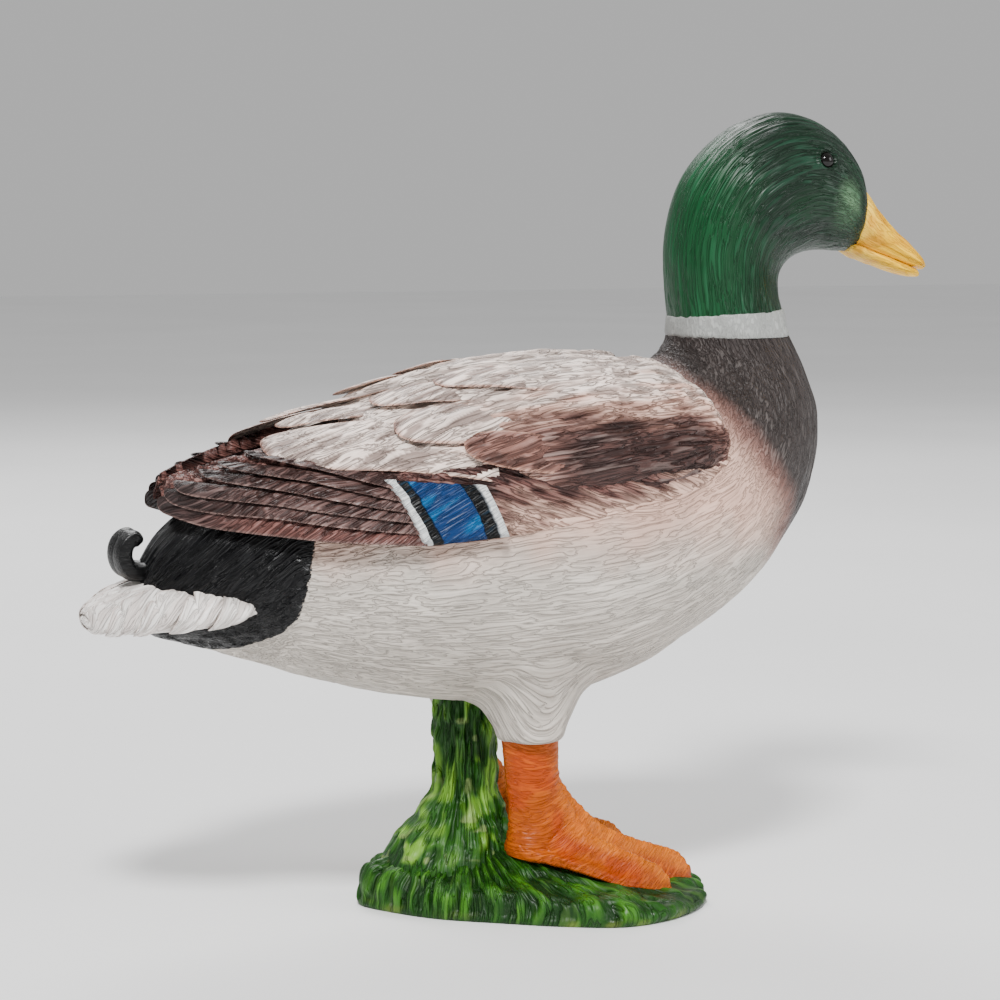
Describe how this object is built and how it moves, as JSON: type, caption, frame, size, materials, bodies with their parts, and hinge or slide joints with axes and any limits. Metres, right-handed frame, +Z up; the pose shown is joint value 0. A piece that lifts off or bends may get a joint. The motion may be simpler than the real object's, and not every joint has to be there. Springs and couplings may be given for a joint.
{
  "type": "garden ornament",
  "caption": "Painted cast-resin mallard drake ornament, standing on webbed feet on a grass mound, with a grass tuft that props up its hollow body",
  "frame": {"origin": "middle of the base's underside, on its flat closing plate, on the drake's middle plane", "axes": "+X forward, the way the bill points; +Y to the drake's left; +Z up"},
  "size_m": [0.3278, 0.132, 0.2887],
  "materials": {
    "body_paint": "satin",
    "head_green": "semi-gloss",
    "ring_white": "satin",
    "bill_yellow": "semi-gloss",
    "eye_glass": "gloss",
    "scapular_cream": "satin",
    "wing_brown": "satin",
    "speculum_blue": "semi-gloss",
    "tail_white": "satin",
    "curl_black": "semi-gloss",
    "leg_orange": "semi-gloss",
    "grass_green": "satin",
    "base_board": "matte",
    "rubber": "matte",
    "ballast": "matte",
    "steel": "satin",
    "wood": "matte"
  },
  "bodies": {
    "root": {"body_shell": "body_paint", "head_casting": "head_green", "neck_ring": "ring_white", "upper_bill": "bill_yellow", "lower_bill": "bill_yellow", "left_eye": "eye_glass", "right_eye": "eye_glass", "left_scapulars": "scapular_cream", "right_scapulars": "scapular_cream", "left_coverts": "wing_brown", "right_coverts": "wing_brown", "left_speculum": "speculum_blue", "right_speculum": "speculum_blue", "left_primaries": "wing_brown", "right_primaries": "wing_brown", "tail_fan": "tail_white", "left_tail_curl": "curl_black", "right_tail_curl": "curl_black", "left_leg": "leg_orange", "right_leg": "leg_orange", "left_leg_rod": "steel", "right_leg_rod": "steel", "grass_tuft": "grass_green", "grass_base": "grass_green", "base_plate": "base_board", "access_plug": "rubber", "base_ballast": "ballast", "tie_rod": "steel", "tie_nut": "steel", "tie_washer": "steel", "anchor_block": "wood", "anchor_nut": "steel", "neck_dowel": "wood"}
  },
  "joints": []
}
